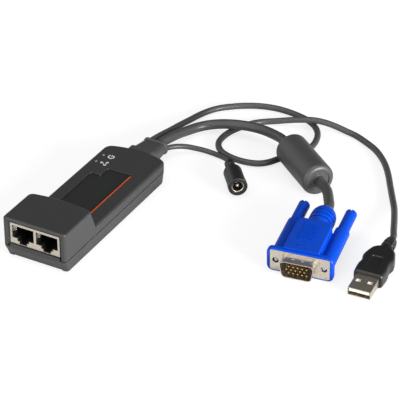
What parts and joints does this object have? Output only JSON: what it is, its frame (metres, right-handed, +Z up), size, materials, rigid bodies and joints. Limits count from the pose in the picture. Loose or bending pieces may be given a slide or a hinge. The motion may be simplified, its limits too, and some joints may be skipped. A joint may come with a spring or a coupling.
{
  "type": "kvm over ip module",
  "caption": "Server interface module: stepped dark housing with network ports at the front, and a relief from which monitor, keyboard and power leads run to their plugs.",
  "frame": {"origin": "bottom centre of the box round the housing and its cord relief, on the surface it lies on", "axes": "+X to the right seen from the ports, +Y from the ports to the leads, +Z up"},
  "size_m": [0.1781, 0.1981, 0.0238],
  "materials": {
    "housing_abs": "fine spark-eroded moulding texture, satin",
    "inlay_polycarbonate": "smooth matte film",
    "stripe_enamel": "satin",
    "light_pipe_acrylic": "clear, polished",
    "nickel_plated_steel": "satin plating",
    "port_nylon": "matte",
    "gold_plate": "polished",
    "cord_pvc": "soft sheen",
    "hood_blue_pvc": "satin",
    "plug_black_pvc": "soft satin",
    "board_laminate": "solder mask",
    "chip_epoxy": "matte",
    "ferrite_ceramic": "sintered",
    "screw_steel": "zinc plated",
    "capacitor_aluminium": "satin",
    "header_nylon": "matte"
  },
  "bodies": {
    "module": {"upper_shell": "housing_abs", "lower_shell": "housing_abs", "label_inlay": "inlay_polycarbonate", "accent_stripe": "stripe_enamel", "light_pipes": "light_pipe_acrylic", "jack_shield": "nickel_plated_steel", "jack_insert": "port_nylon", "jack_contacts": "gold_plate", "strain_relief_boot": "cord_pvc", "circuit_board": "board_laminate", "processor_chip": "chip_epoxy", "video_chip": "chip_epoxy", "memory_chips": "chip_epoxy", "network_magnetics": "chip_epoxy", "power_inductors": "ferrite_ceramic", "board_capacitors": "capacitor_aluminium", "status_leds": "light_pipe_acrylic", "wire_header": "header_nylon", "inner_cable_ends": "cord_pvc", "case_screws": "screw_steel", "vga_cord_near": "cord_pvc", "vga_cord_core_run": "cord_pvc", "vga_cord_far": "cord_pvc", "ferrite_cover": "cord_pvc", "ferrite_core": "ferrite_ceramic", "vga_hood": "hood_blue_pvc", "vga_shell": "nickel_plated_steel", "vga_insulator": "port_nylon", "vga_pins": "gold_plate", "usb_cord": "cord_pvc", "usb_overmould": "plug_black_pvc", "usb_shell": "nickel_plated_steel", "usb_tongue_block": "port_nylon", "usb_contacts": "gold_plate", "dc_cord": "cord_pvc", "dc_overmould": "plug_black_pvc", "dc_sleeve": "nickel_plated_steel", "dc_insulator": "port_nylon", "dc_pin": "nickel_plated_steel"},
    "left_thumbscrew": {"left_thumb_knob": "hood_blue_pvc", "left_jackscrew": "screw_steel"},
    "right_thumbscrew": {"right_thumb_knob": "hood_blue_pvc", "right_jackscrew": "screw_steel"}
  },
  "joints": [
    {"name": "left_thumbscrew_turn", "type": "hinge", "parent": "module", "child": "left_thumbscrew", "pos_m": [0.10704, -0.00785, 0.0072], "axis": [-0.1473, 0.9854, 0.0854], "continuous": true},
    {"name": "right_thumbscrew_turn", "type": "hinge", "parent": "module", "child": "right_thumbscrew", "pos_m": [0.13176, -0.00415, 0.0072], "axis": [-0.1473, 0.9854, 0.0854], "continuous": true}
  ]
}
